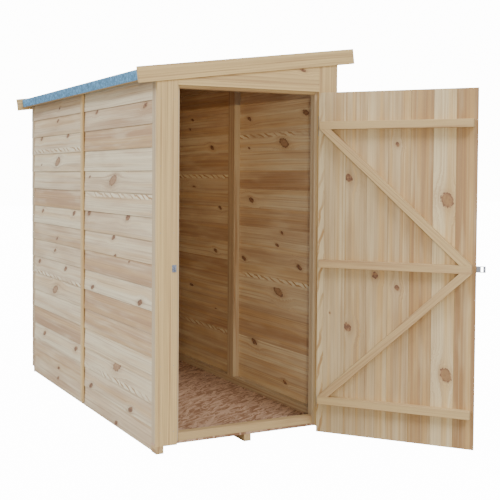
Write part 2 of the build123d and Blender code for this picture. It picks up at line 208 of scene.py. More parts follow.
class Nodes:
    """Adds nodes to one tree; an input takes a number, a colour or another node's output."""

    def __init__(self, tree):
        self.tree = tree

    def add(self, kind, inputs=None, **settings):
        node = self.tree.nodes.new(kind)
        for key, value in settings.items():
            setattr(node, key, value)
        for key, value in (inputs or {}).items():
            self.set(node.inputs[key], value)
        return node

    def set(self, socket, value):
        if isinstance(value, bpy.types.NodeSocket):
            self.tree.links.new(value, socket)
        else:
            socket.default_value = value

    def math(self, operation, a, b=0.0):
        return self.add("ShaderNodeMath", {0: a, 1: b}, operation=operation).outputs[0]

    def times(self, a, b):
        return self.math("MULTIPLY", a, b)

    def plus(self, a, b):
        return self.math("ADD", a, b)

    def minus(self, a, b):
        return self.math("SUBTRACT", a, b)

    def around(self, value, reach):
        """The value less a half, times the reach."""
        return self.times(self.minus(value, 0.5), reach)

    def vector(self, x, y, z=0.0):
        return self.add("ShaderNodeCombineXYZ", {0: x, 1: y, 2: z}).outputs[0]

    def grey(self, value):
        return self.vector(value, value, value)

    def parts(self, vector):
        return self.add("ShaderNodeSeparateXYZ", {0: vector}).outputs

    def scaled(self, vector, factor):
        return self.add("ShaderNodeVectorMath", {0: vector, 3: factor}, operation="SCALE").outputs[0]

    def noise(self, vector, detail=2.0, roughness=0.5):
        return self.add("ShaderNodeTexNoise", {"Vector": vector, "Scale": 1.0, "Detail": detail,
                                               "Roughness": roughness}).outputs[0]

    def stretched(self, x, y, waves, z=0.0, detail=2.0, roughness=0.5):
        """Noise with its own number of waves per metre along x and along y."""
        place = self.vector(self.times(x, waves[0]), self.times(y, waves[1]), z)
        return self.noise(place, detail, roughness)

    def cells(self, vector, dimensions="3D"):
        return self.add("ShaderNodeTexVoronoi", {"Vector": vector, "Scale": 1.0},
                        voronoi_dimensions=dimensions).outputs

    def ramp(self, value, start, end, low=0.0, high=1.0):
        node = self.add("ShaderNodeMapRange", {"Value": value, "From Min": start, "From Max": end,
                                               "To Min": low, "To Max": high},
                        interpolation_type="SMOOTHSTEP")
        return node.outputs[0]

    def mix(self, factor, a, b, blend="MIX"):
        node = self.add("ShaderNodeMix", {0: factor, 6: a, 7: b}, data_type="RGBA", blend_type=blend)
        return node.outputs[2]

    def shaded(self, colour, brightness):
        return self.mix(1.0, colour, self.grey(brightness), "MULTIPLY")


def new_group(name, inputs, outputs):
    """An empty shader group with named sockets, and its node adder."""
    tree = bpy.data.node_groups.new(name, "ShaderNodeTree")
    kinds = {"vector": "NodeSocketVector", "value": "NodeSocketFloat", "colour": "NodeSocketColor"}
    for in_out, sockets in (("INPUT", inputs), ("OUTPUT", outputs)):
        for label, kind in sockets:
            tree.interface.new_socket(name=label, in_out=in_out, socket_type=kinds[kind])
    nodes = Nodes(tree)
    return nodes, nodes.add("NodeGroupInput").outputs, nodes.add("NodeGroupOutput").inputs


def knot_masks(n, place, wobble):
    """Masks round one knot: the grain's bend in metres, then the halo, the whole knot and its centre.

    The reach is the length of the two scaled offsets, which is one at the knot's edge.
    """
    along, across, size = n.parts(place)
    reach = n.math("SQRT", n.plus(n.times(along, along), n.times(across, across)))
    reach = n.times(reach, n.plus(0.40, n.times(wobble, 1.20)))
    bend = n.times(n.times(across, size), n.ramp(reach, BEND_REACH, 0.0, 0.0, 0.75))
    centre = n.times(n.ramp(reach, 0.88, 0.66), n.ramp(size, SOLID_KNOT, LARGE_KNOT))
    return bend, n.ramp(reach, HALO_REACH, 0.9), n.ramp(reach, 1.10, 0.90), centre


def dashed_figure(n, x, line, dashes, wobble):
    """Masks of slanting dashes along a line, dark and pale.

    A saw wave along the grain, with that many dashes to the metre, shows near the line only and fades
    here and there.
    """
    near = n.ramp(n.math("ABSOLUTE", n.plus(line, n.around(wobble, 1.2))), 1.0, 0.55)
    near = n.times(near, n.ramp(n.noise(n.vector(n.times(x, FADE_WAVES), 7.0)), 0.40, 0.56, 0.15, 1.0))
    drift = n.times(n.noise(n.vector(n.times(x, DRIFT_WAVES), 0.0)), n.times(dashes, 0.18))
    saw = n.plus(n.times(x, dashes), n.times(line, 0.5))
    saw = n.math("FRACT", n.plus(saw, drift))
    dark = n.times(near, n.times(n.ramp(saw, 0.36, 0.48), n.ramp(saw, 0.82, 0.66)))
    return dark, n.minus(near, dark)


def softwood_group():
    """Sawn softwood: heartwood, warm bands, growth rings, streaks, dashed figure and two knots."""
    n, given, out = new_group(
        "softwood",
        [("Grain", "vector"), ("Tone", "value"), ("Figure line", "value"), ("First knot", "vector"),
         ("Second knot", "vector"), ("Warmth", "value"), ("Streaks", "value"),
         ("Pale figure", "value"), ("Dashes", "value"), ("Sapwood", "colour"), ("Heartwood", "colour"),
         ("Warm wood", "colour"), ("Latewood", "colour"), ("Knot", "colour")],
        [("Color", "colour"), ("Roughness", "value"), ("Height", "value")])
    sapwood, heartwood, latewood = given["Sapwood"], given["Heartwood"], given["Latewood"]
    streaks = given["Streaks"]
    x, y, z = n.parts(given["Grain"])
    wobble = n.stretched(x, y, WOBBLE_WAVES, 0.0, 3.0, 0.6)
    first = knot_masks(n, given["First knot"], wobble)
    second = knot_masks(n, given["Second knot"], wobble)
    halo, inside, centre = (n.math("MAXIMUM", a, b) for a, b in zip(first[1:], second[1:]))
    # The grain bends round the knots and sways slowly along the board
    bent = n.minus(y, n.plus(first[0], second[0]))
    side = n.plus(bent, n.around(n.stretched(x, bent, SWAY_WAVES, z, 1.0), SWAY))
    # Growth rings are circles about a heart that lies behind the board's face
    depth = n.plus(z, HEART_DEPTH)
    ring = n.math("SQRT", n.plus(n.times(side, side), n.times(depth, depth)))
    ring = n.math("FRACT", n.times(ring, RINGS_PER_METRE))
    late = n.times(n.ramp(ring, 0.25, 0.85), n.ramp(ring, 1.0, 0.93))
    streak = n.stretched(x, side, STREAK_WAVES, n.times(z, 30.0), 3.0, 0.6)
    band = n.stretched(x, side, BAND_WAVES, 3.7)
    glow = n.stretched(x, side, GLOW_WAVES, 11.3)
    patch = n.stretched(x, side, PATCH_WAVES, 21.0)
    fibre = n.stretched(x, y, FIBRE_WAVES, n.times(z, FIBRE_WAVES[1]))
    wood = n.mix(n.ramp(n.plus(given["Tone"], n.around(band, 0.95)), -0.05, 1.05), sapwood, heartwood)
    wood = n.mix(n.times(n.ramp(glow, 0.42, 0.66), given["Warmth"]), wood, given["Warm wood"])
    wood = n.mix(n.ramp(patch, 0.48, 0.70, 0.0, 0.40), wood, sapwood)
    wood = n.mix(n.ramp(patch, 0.50, 0.30, 0.0, 0.30), wood, heartwood)
    wood = n.mix(n.times(n.ramp(streak, 0.48, 0.72), streaks), wood, latewood)
    wood = n.mix(n.times(n.ramp(streak, 0.46, 0.25), n.times(streaks, 0.7)), wood, sapwood)
    wood = n.mix(n.times(late, n.times(streaks, 0.30)), wood, latewood)
    dark, bright = dashed_figure(n, x, given["Figure line"], given["Dashes"], wobble)
    gleam = n.mix(1.0, sapwood, FIGURE_GLEAM, "MULTIPLY")
    wood = n.mix(n.times(bright, given["Pale figure"]), wood, gleam)
    wood = n.mix(dark, wood, n.mix(0.62, given["Warm wood"], latewood))
    wood = n.shaded(wood, n.plus(0.90, n.times(fibre, 0.20)))
    wood = n.mix(n.times(halo, n.ramp(wobble, 0.35, 0.65, 0.05, 0.45)), wood, latewood)
    solid_knot = n.mix(n.ramp(wobble, 0.42, 0.62), given["Knot"], latewood)
    oval_knot = n.mix(n.ramp(wobble, 0.35, 0.65, 0.55, 0.95), given["Knot"], heartwood)
    knot = n.mix(centre, solid_knot, oval_knot)
    n.set(out["Color"], n.mix(n.times(inside, 0.92), wood, knot))
    n.set(out["Roughness"], n.minus(0.74, n.times(late, 0.12)))
    rise = n.plus(n.times(late, 0.4), n.times(fibre, 0.6))
    n.set(out["Height"], n.plus(rise, n.times(inside, 0.5)))
    return n.tree


def strand_group():
    """Pressed strand board: four crossed layers of long flakes, each flake with its own tone."""
    n, given, out = new_group("pressed_strands",
                              [("Position", "vector"), ("Light", "colour"), ("Dark", "colour")],
                              [("Color", "colour"), ("Height", "value")])
    x, y, z = n.parts(given["Position"])
    tone, height = None, None
    for turn, offset in STRAND_LAYERS:
        along = n.plus(n.times(x, math.cos(turn)), n.times(y, math.sin(turn)))
        over = n.minus(n.times(y, math.cos(turn)), n.times(x, math.sin(turn)))
        over = n.plus(over, n.times(n.stretched(x, y, WARP_WAVES, offset, 1.0), 0.02))
        flake = n.cells(n.vector(n.plus(n.times(along, FLAKES_ALONG), offset),
                                 n.times(over, FLAKES_ACROSS)), "2D")
        pick = n.parts(flake["Color"])
        if tone is None:
            tone, height = pick[0], pick[2]
            continue
        above = n.ramp(pick[1], 0.48, 0.50)
        tone = n.parts(n.mix(above, n.grey(tone), n.grey(pick[0])))[0]
        height = n.plus(height, above)
    tone = n.plus(tone, n.around(n.stretched(x, y, SPECK_WAVES, z), 0.6))
    n.set(out["Color"], n.mix(n.ramp(tone, 0.05, 0.95), given["Dark"], given["Light"]))
    n.set(out["Height"], height)
    return n.tree


def granule_group():
    """Mineral felt: coarse granules of mixed tone over a mottled sheet."""
    n, given, out = new_group("mineral_granules", [("Position", "vector"), ("Base", "colour")],
                              [("Color", "colour"), ("Height", "value")])
    grit = n.cells(n.scaled(given["Position"], GRANULES_PER_METRE))
    mottle = n.ramp(n.noise(n.scaled(given["Position"], MOTTLES_PER_METRE), 3.0, 0.7), 0.36, 0.64)
    bright = n.plus(n.times(n.parts(grit["Color"])[0], 0.6), n.times(mottle, 0.7))
    n.set(out["Color"], n.shaded(given["Base"], n.plus(bright, 0.40)))
    n.set(out["Height"], n.minus(1.0, grit["Distance"]))
    return n.tree


def spangle_group():
    """Zinc coating: flat crystals that differ a little in tone and gloss."""
    n, given, out = new_group("zinc_spangle", [("Position", "vector"), ("Base", "colour")],
                              [("Color", "colour"), ("Roughness", "value")])
    pick = n.parts(n.cells(n.scaled(given["Position"], CRYSTALS_PER_METRE))["Color"])[0]
    n.set(out["Color"], n.shaded(given["Base"], n.plus(0.84, n.times(pick, 0.28))))
    n.set(out["Roughness"], n.plus(0.34, n.times(pick, 0.22)))
    return n.tree


def group(name, make):
    """The shader group of that name, made on first use."""
    return bpy.data.node_groups.get(name) or make()


def start_material(name):
    """A material with its node adder and Principled BSDF, or None for both where it was made before."""
    material = bpy.data.materials.get(name)
    if material:
        return material, None, None
    material = bpy.data.materials.new(name)
    material.use_nodes = True
    return material, Nodes(material.node_tree), material.node_tree.nodes["Principled BSDF"]


def bumped(n, shader, height, strength, distance):
    """Feeds a height to the shader's normal."""
    bump = n.add("ShaderNodeBump", {"Height": height, "Strength": strength, "Distance": distance})
    n.set(shader.inputs["Normal"], bump.outputs[0])


# Attributes that carry a piece's wood to its material
WOOD_ATTRIBUTES = {"Grain": ("grain_place", "Vector"), "Tone": ("board_tone", "Fac"),
                   "Figure line": ("figure_line", "Fac"), "First knot": ("first_knot", "Vector"),
                   "Second knot": ("second_knot", "Vector")}


def rgba(value):
    return (*value, 1.0)


# Wood finishes: the pale and the dark colour and the dark one's share, the yellow bands' colour and
# strength, the streaks' strength, and how much paler the figure's dashes are and how many a metre has
WOODS = {
    "lapped_boards": ("sapwood", "heartwood", 1.0, "warm", 0.55, 0.46, 0.75, 13.0),
    "door_boards": ("door_pale", "door_brown", 1.0, "door_warm", 0.75, 0.50, 0.25, 7.0),
    "planed_trim": ("trim", "heartwood", 0.35, "warm", 0.20, 0.75, 0.75, 13.0),
    "sawn_framing": ("framing", "heartwood", 0.4, "warm", 0.20, 0.75, 0.75, 13.0),
    "sawn_studs": ("studs", "heartwood", 0.4, "warm", 0.10, 0.75, 0.75, 13.0),
    "roof_boarding": ("roof", "latewood", 0.6, "warm", 0.10, 0.4, 0.75, 13.0),
}


def wood_material(name):
    """Softwood that reads its grain place, tone, figure and knots from the piece."""
    material, n, shader = start_material(name)
    if n is None:
        return material
    colours = bpy.context.scene.shed_colours
    pale, dark, share, warm, warmth, streaks, pale_figure, dashes = WOODS[name]
    pale, dark = getattr(colours, pale), getattr(colours, dark)
    dark = [p + (d - p) * share for p, d in zip(pale, dark)]
    values = {"Warmth": warmth, "Streaks": streaks, "Pale figure": pale_figure, "Dashes": dashes,
              "Sapwood": rgba(pale), "Heartwood": rgba(dark), "Warm wood": rgba(getattr(colours, warm)),
              "Latewood": rgba(colours.latewood), "Knot": rgba(colours.knot)}
    for key, (attribute, output) in WOOD_ATTRIBUTES.items():
        values[key] = n.add("ShaderNodeAttribute", attribute_name=attribute).outputs[output]
    wood = n.add("ShaderNodeGroup", values, node_tree=group("softwood", softwood_group))
    n.set(shader.inputs["Base Color"], wood.outputs["Color"])
    n.set(shader.inputs["Roughness"], wood.outputs["Roughness"])
    bumped(n, shader, wood.outputs["Height"], *WOOD_BUMP)
    return material


def sheet_material(name, pattern, colours, roughness=None, metallic=0.0, bump=None):
    """A finish whose pattern, a group's name and maker, follows the place on the piece."""
    material, n, shader = start_material(name)
    if n is None:
        return material
    values = {key: rgba(value) for key, value in colours.items()}
    values["Position"] = n.add("ShaderNodeTexCoord").outputs["Object"]
    made = n.add("ShaderNodeGroup", values, node_tree=group(*pattern))
    n.set(shader.inputs["Base Color"], made.outputs["Color"])
    n.set(shader.inputs["Roughness"], made.outputs["Roughness"] if roughness is None else roughness)
    n.set(shader.inputs["Metallic"], metallic)
    if bump:
        bumped(n, shader, made.outputs["Height"], bump, SHEET_BUMP_DEPTH)
    return material


def strand_material():
    c = bpy.context.scene.shed_colours
    return sheet_material("pressed_strand_board", ("pressed_strands", strand_group),
                          {"Light": c.strand_light, "Dark": c.strand_dark}, 0.62, bump=0.5)


def felt_material():
    c = bpy.context.scene.shed_colours
    return sheet_material("mineral_felt", ("mineral_granules", granule_group), {"Base": c.felt}, 0.88,
                          bump=0.6)


def steel_material():
    c = bpy.context.scene.shed_colours
    return sheet_material("zinc_coated_steel", ("zinc_spangle", spangle_group), {"Base": c.steel},
                          metallic=0.85)


def add_piece(name, vertices, faces, material, body, nodes, smooth=35.0, wood=None):
    """Makes a mesh object from its arrays and finishes it."""
    mesh = bpy.data.meshes.new(name)
    mesh.from_pydata(vertices, [], faces)
    if wood:
        write_wood(mesh, wood)
    edit = bmesh.new()
    edit.from_mesh(mesh)
    bmesh.ops.remove_doubles(edit, verts=edit.verts, dist=1e-6)
    edit.to_mesh(mesh)
    edit.free()
    return finish_piece(bpy.data.objects.new(name, mesh), material, body, nodes, smooth)


def finish_piece(piece, material, body, nodes, smooth=35.0):
    """Gives an object its finish, and ties it to the frame."""
    mesh = piece.data
    mesh.materials.clear()
    mesh.materials.append(material)
    mesh.update()
    mesh.shade_smooth()
    mesh.set_sharp_from_angle(angle=math.radians(smooth))
    bpy.context.scene.collection.objects.link(piece)
    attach(piece, body)
    if nodes:
        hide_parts(*nodes)
    return piece


def write_wood(mesh, wood):
    """Stores each vertex's place in its board's wood and the board's tone, figure line and knots."""
    for attribute, output in WOOD_ATTRIBUTES.values():
        vector = output == "Vector"
        layer = mesh.attributes.new(attribute, "FLOAT_VECTOR" if vector else "FLOAT", "POINT")
        values = np.ascontiguousarray(wood[attribute], np.float32)
        layer.data.foreach_set("vector" if vector else "value", values.ravel())


def mesh_points(mesh):
    """The mesh's vertices as an array of places."""
    points = np.empty(len(mesh.vertices) * 3, np.float32)
    mesh.vertices.foreach_get("co", points)
    return points.reshape(-1, 3)


def knot_offsets(points, place, along, across, size, stretch, lean):
    """Offsets from a knot's middle over its half sizes along and across the grain, and its half height.

    A knot is longer along the grain than across it by the stretch, and it leans along the grain.
    """
    offset = np.asarray(points, float) - np.asarray(place, float)
    over = offset @ np.array(across)
    ahead = offset @ np.array(along) - lean * over
    return np.stack([ahead / (size * stretch), over / size, np.full(len(offset), size)], axis=1)


def board_wood(points, grain, tone, along, across, knots=(), figure=None, stretch=1.6, lean=KNOT_LEAN):
    """One board's wood: knots are (place, half height) and figure is (place, half width) of a line."""
    count = len(points)
    fields = [knot_offsets(points, place, along, across, size, stretch, lean)
              for place, size in knots[:2]]
    fields += [np.tile(NO_KNOT, (count, 1))] * (2 - len(fields))
    line = np.full(count, NO_FIGURE)
    if figure:
        line = (np.asarray(points, float) - np.array(figure[0])) @ np.array(across) / figure[1]
    return {"grain_place": grain, "board_tone": np.full(count, tone), "figure_line": line,
            "first_knot": fields[0], "second_knot": fields[1]}


def grain_places(points, along, across, inward, middle, face, shift, draw):
    """Places along a board's grain, across it from about its middle, and behind its face."""
    return np.stack([points @ np.array(along) + draw.uniform(*GRAIN_START),
                     points @ np.array(across) - middle + draw.uniform(-shift, shift),
                     points @ np.array(inward) - face], axis=1)


def prism(sections):
    """Quads between closed sections (stations, points, 3), and the two flat ends."""
    stations, points = sections.shape[:2]
    index = np.arange(stations * points).reshape(stations, points)
    ahead = np.roll(index, -1, axis=1)
    quads = np.stack([index[:-1], ahead[:-1], ahead[1:], index[1:]], axis=-1).reshape(-1, 4)
    return sections.reshape(-1, 3), quads.tolist() + [index[0, ::-1].tolist(), index[-1].tolist()]


def join_boards(boards):
    """One mesh's arrays from many boards of (vertices, faces, wood)."""
    vertices, faces, start = [], [], 0
    for points, board_faces, wood in boards:
        vertices.append(points)
        faces += [[start + i for i in face] for face in board_faces]
        start += len(points)
    wood = {key: np.concatenate([board[2][key] for board in boards]) for key in boards[0][2]}
    return np.concatenate(vertices), faces, wood


def outward(sections):
    """Turns the sections' order round where the prism would face inwards."""
    first = sections[0]
    area = np.cross(first, np.roll(first, -1, axis=0)).sum(axis=0)
    travel = sections[-1].mean(axis=0) - first.mean(axis=0)
    return sections[:, ::-1] if area @ travel < 0 else sections


def lapped_section(sizes, depth, head, rebated, lip=0.0012):
    """Outline of one lapped board, as depth and height.

    The face leans back from a rounded lower edge, a quarter circle of the lip's radius, to the lap
    step, then rises as a tongue behind the next board's lip. The back is flat, and its foot is cut away
    over the board below.
    """
    turn = np.linspace(0.0, math.pi / 2, 4)
    round_edge = np.stack([lip - lip * np.sin(turn), lip - lip * np.cos(turn)], axis=1)
    step, gap = sizes.lap_step, sizes.joint
    tongue = head + sizes.overlap
    face = [[step, head], [step + gap, tongue], [depth, tongue]]
    foot = [[depth, 0.0]]
    if rebated:
        foot = [[depth, sizes.overlap + gap], [step - gap, sizes.overlap + gap], [step - gap, 0.0]]
    return np.concatenate([round_edge, face, foot])


def matched_section(sizes, x0, x1, y0, y1, tongue, groove, ease=0.0003):
    """Outline of one matched board across its width x and thickness y: a tongue at x0, a groove at x1.

    The tongue is 0.28 of the thickness high and 0.6 of the laps' overlap long, and the groove is wider
    and deeper than it by the joint.
    """
    middle, half, long = (y0 + y1) / 2, (y1 - y0) * 0.14, sizes.overlap * 0.6
    first, last = x0 + (sizes.joint if tongue else 0.0), x1 - (sizes.joint if groove else 0.0)
    left = [[first, y1 - ease], [first, y0 + ease]]
    right = [[last, y0 + ease], [last, y1 - ease]]
    if tongue:
        left[1:1] = [[first, middle + half], [first - long, middle + half],
                     [first - long, middle - half], [first, middle - half]]
    if groove:
        wide, deep = half + sizes.joint * 0.5, long + sizes.joint
        right[1:1] = [[last, middle - wide], [last - deep, middle - wide],
                      [last - deep, middle + wide], [last, middle + wide]]
    return np.array(left + [[first + ease, y0], [last - ease, y0]] + right
                    + [[last - ease, y1], [first + ease, y1]])


def named_draw(name):
    """Random draws that a name always starts in the same way."""
    return np.random.default_rng(SEED + sum(map(ord, name)))


def wall_marks(name, face, along, foot, head, start, end, draw):
    """The knots and the line of figure in one board: those listed for the wall, or else drawn."""
    def place(s, z):
        return np.array(face) + s * along + z * np.array(UPRIGHT)

    listed = WALL_KNOTS.get(name)
    if listed:
        knots = [(place(s, z), size) for s, z, size in listed if foot <= z < head]
    else:
        knots = [(place(draw.uniform(start, end), draw.uniform(foot, head)), draw.choice(KNOT_SIZES))
                 for _ in range(draw.integers(0, 3))]
    lines = [(place(0.0, z), WALL_FIGURE_WIDTH) for z in WALL_FIGURES.get(name, ()) if foot <= z < head]
    return knots, lines[0] if lines else None


def board_run(start, end, foot, crest, roof_line):
    """Places along a board and its height at each, from where the roof leaves enough of it, or None."""
    def heights(places):
        return np.minimum([roof_line(s) for s in places], crest) - foot

    places = np.linspace(start, end, STATIONS)
    room = heights(places)
    if room.max() < LEAST_BOARD:
        return None
    if room.min() < LEAST_BOARD:
        first = start + (end - start) * np.interp(LEAST_BOARD, room, np.linspace(0, 1, STATIONS))
        places = np.linspace(first, end, STATIONS)
        room = heights(places)
    return places, room


def lapped_wall(name, face, inward, along, start, end, bottom, roof_line, node):
    """A wall of lapped boards: each outline is carried along the wall and cut to the roof's line."""
    sizes = bpy.context.scene.shed_sizes
    tones = WALL_TONES.get(name)
    lean = -KNOT_LEAN if name.startswith("boards_low") else KNOT_LEAN
    draw = named_draw(name)
    face, inward, along, upright = (np.array(v) for v in (face, inward, along, UPRIGHT))
    limit = max(roof_line(start), roof_line(end))
    boards = []
    for row in range(int(math.ceil((limit - sizes.first_lap) / sizes.board_cover))):
        foot = max(sizes.first_lap + row * sizes.board_cover, bottom)
        head = sizes.first_lap + (row + 1) * sizes.board_cover
        run = head > bottom and board_run(start, end, foot, head + sizes.overlap, roof_line)
        if not run:
            continue
        places, room = run
        outline = lapped_section(sizes, BOARD_DEPTH, head - foot, row > 0 and foot > bottom)
        depths = np.repeat(outline[None, :, 0], STATIONS, axis=0)
        heights = np.minimum(outline[None, :, 1], room[:, None])
        # Where the roof cuts a board, its face ends at the depth that it leans to there
        depths[:, FACE_TOP] = sizes.lap_step * np.clip(heights[:, FACE_TOP] / (head - foot), 0, 1)
        points, faces = prism(outward(face + depths[..., None] * inward + places[:, None, None] * along
                                      + (foot + heights)[..., None] * upright))
        grain = grain_places(points, along, upright, inward, (foot + head) / 2, face @ inward,
                             WALL_SHIFT, draw)
        tone = tones[row % len(tones)] if tones else draw.uniform(0.05, 0.95)
        marks = wall_marks(name, face, along, foot, head, start, end, draw)
        wood = board_wood(points, grain, tone, along, UPRIGHT, *marks, lean=lean)
        boards.append((points, faces, wood))
    vertices, faces, wood = join_boards(boards)
    return add_piece(name, vertices, faces, wood_material("lapped_boards"), "shed", [node],
                     wood=wood)


def island_labels(mesh):
    """Lowest vertex number of each vertex's connected island."""
    labels = np.arange(len(mesh.vertices))
    edges = np.empty(len(mesh.edges) * 2, int)
    mesh.edges.foreach_get("vertices", edges)
    a, b = edges.reshape(-1, 2).T
    while True:
        least = np.minimum(labels[a], labels[b])
        new = labels.copy()
        np.minimum.at(new, a, least)
        np.minimum.at(new, b, least)
        if (new == labels).all():
            return labels
        labels = new


def node_copy(node):
    """A copy of a frame node's mesh with its doubles merged and its flat faces joined."""
    mesh = frame["nodes"][node].data.copy()
    mesh.name = f"dressed_{node}"
    edit = bmesh.new()
    edit.from_mesh(mesh)
    bmesh.ops.remove_doubles(edit, verts=edit.verts, dist=2e-6)
    bmesh.ops.dissolve_limit(edit, angle_limit=math.radians(0.5), verts=edit.verts, edges=edit.edges)
    edit.to_mesh(mesh)
    edit.free()
    return mesh


def dressed(node, material, edge, grain=None, tone=(0.2, 0.8), knots=()):
    """The frame node's own shape with eased edges and, for wood, its grain along one direction."""
    mesh = node_copy(node)
    piece = bpy.data.objects.new(f"dressed_{node}", mesh)
    if grain is not None:
        draw = named_draw(node)
        points = mesh_points(mesh)
        labels = island_labels(mesh)
        along = np.array(grain, float)
        across = np.cross(along, UPRIGHT if abs(along[2]) < 0.9 else ALONG_X)
        across /= np.linalg.norm(across)
        third = np.cross(along, across)
        one = points[labels == labels[0]]
        if np.ptp(one @ third) > np.ptp(one @ across):
            across, third = third, across
        places = points @ np.stack([along, across, third]).T
        tones = np.empty(len(points))
        for label in np.unique(labels):
            mine = labels == label
            middle = places[mine].mean(axis=0)
            middle[0] = -draw.uniform(*GRAIN_START)
            places[mine] += draw.uniform(-FRAMING_SHIFT, FRAMING_SHIFT, 3) - middle
            tones[mine] = draw.uniform(*tone)
        wood = board_wood(points, places, 0.0, along, across, knots)
        wood["board_tone"] = tones
        write_wood(mesh, wood)
    finish_piece(piece, material, piece_body(node), [node])
    bevel = piece.modifiers.new("eased_edges", "BEVEL")
    bevel.width = edge
    bevel.segments = 2
    bevel.limit_method = "ANGLE"
    bevel.angle_limit = math.radians(40.0)
    return piece


def piece_body(node):
    return next(b for b, members in frame["record"]["behaviour"]["bodies"].items() if node in members)


def turned(points, angle):
    """Points turned about the door's pin."""
    c, s = math.cos(angle), math.sin(angle)
    flat = np.asarray(points, float) - DOOR_PIN
    return flat @ np.array([[c, s, 0.0], [-s, c, 0.0], [0.0, 0.0, 1.0]]) + DOOR_PIN


def shut_box(node):
    """Lowest and highest corners of a door node with the door shut."""
    points = turned(mesh_points(frame["nodes"][node].data), -OPEN_ANGLE)
    return points.min(axis=0), points.max(axis=0)


def opened(direction):
    """A direction on the shut door, turned to where the door stands open."""
    c, s = math.cos(OPEN_ANGLE), math.sin(OPEN_ANGLE)
    x, y, z = direction
    return (x * c - y * s, x * s + y * c, z)


def under_roof(x):
    return LOW_HEIGHT + (x - LOW_X) * ROOF_SLOPE


def domed_heads(name, places, normals, radius, material, body):
    """Round heads at the places: rings of a shallow dome under a flat top.

    A ring's points lie at its width times the cosine and the sine of even turns, and at its height.
    """
    places, normals = np.asarray(places, float), np.asarray(normals, float)
    around = np.linspace(0, 2 * math.pi, HEAD_SIDES, endpoint=False)
    rise = np.array(HEAD_RINGS)
    side = np.cross(normals, NO_NORMAL)
    side /= np.linalg.norm(side, axis=1, keepdims=True)
    other = np.cross(normals, side)
    ring = (rise[:, None, 0] * np.cos(around), rise[:, None, 0] * np.sin(around))
    points = (places[:, None, None] + radius * (ring[0][None, ..., None] * side[:, None, None]
              + ring[1][None, ..., None] * other[:, None, None]
              + rise[None, :, None, 1, None] * normals[:, None, None]))
    count, rings, steps = points.shape[:3]
    index = np.arange(count * rings * steps).reshape(count, rings, steps)
    ahead = np.roll(index, -1, axis=2)
    walls = np.stack([index[:, :-1], ahead[:, :-1], ahead[:, 1:], index[:, 1:]], axis=-1).reshape(-1, 4)
    faces = walls.tolist() + index[:, -1].tolist() + index[:, 0, ::-1].tolist()
    return add_piece(name, points.reshape(-1, 3), faces, material, body, (),
                     60.0)


class SHED_OT_side_boards(bpy.types.Operator):
    """Lapped boards of both long walls and the rear wall"""

    bl_idname = "shed.side_boards"
    bl_label = "Lapped boards"

    def execute(self, context):
        for side, high in (("low", False), ("high", True)):
            face_x = HIGH_X if high else LOW_X
            inward = (-1.0, 0.0, 0.0) if high else ALONG_X
            for half in ("front", "rear"):
                node = f"{side}_wall_cladding_{half}"
                low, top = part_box(node)
                lapped_wall(f"boards_{side}_{half}", (face_x, 0.0, 0.0), inward, ALONG_Y, low.y, top.y,
                            low.z, lambda s, z=top.z: z, node)
        low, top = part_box("rear_cladding")
        lapped_wall("boards_rear", (0.0, top.y, 0.0), (0.0, -1.0, 0.0), ALONG_X, low.x, top.x,
                    low.z, under_roof, "rear_cladding")
        return {"FINISHED"}


class SHED_OT_framing(bpy.types.Operator):
    """Bearers, studs, rails and door posts"""

    bl_idname = "shed.framing"
    bl_label = "Framing"

    def execute(self, context):
        edge = context.scene.shed_sizes.edge
        upright = ["low_wall_studs", "high_wall_studs", "rear_studs", "front_corner_studs",
                   "door_post_low", "door_post_high"]
        lengthwise = ["bearer_low", "bearer_centre", "bearer_high", "low_wall_bottom_rail",
                      "high_wall_bottom_rail", "low_wall_top_rail", "high_wall_top_rail",
                      "roof_edge_rails", "roof_wall_rails"]
        crosswise = ["door_head", "threshold", "rear_bottom_rail"]
        up_the_roof = ["front_top_rail", "rear_top_rail"]
        outside = ("bearer_low", "bearer_centre", "bearer_high", "door_head", "threshold",
                   "roof_edge_rails")
        for nodes, grain in ((upright, UPRIGHT), (lengthwise, ALONG_Y), (crosswise, ALONG_X),
                             (up_the_roof, UP_ROOF)):
            for node in nodes:
                finish = "sawn_framing" if node in outside else "sawn_studs"
                dressed(node, wood_material(finish), edge, grain)
        return {"FINISHED"}


class SHED_OT_trims(bpy.types.Operator):
    """Corner boards, header, cover battens and bargeboards"""

    bl_idname = "shed.trims"
    bl_label = "Trims"

    # The header's knot: place across the front, height and half height
    HEADER_KNOT = (0.262, 1.655, 0.009)

    def execute(self, context):
        edge = context.scene.shed_sizes.edge
        material = wood_material("planed_trim")
        for node in ("front_trim_low", "front_trim_high", "low_wall_cover_batten",
                     "high_wall_cover_batten"):
            dressed(node, material, edge, UPRIGHT)
        across, height, size = self.HEADER_KNOT
        knot = ((across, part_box("front_header")[0].y, height), size)
        dressed("front_header", material, edge, ALONG_X, knots=[knot])
        for node in ("bargeboard_front", "bargeboard_rear"):
            dressed(node, material, edge, UP_ROOF)
        return {"FINISHED"}


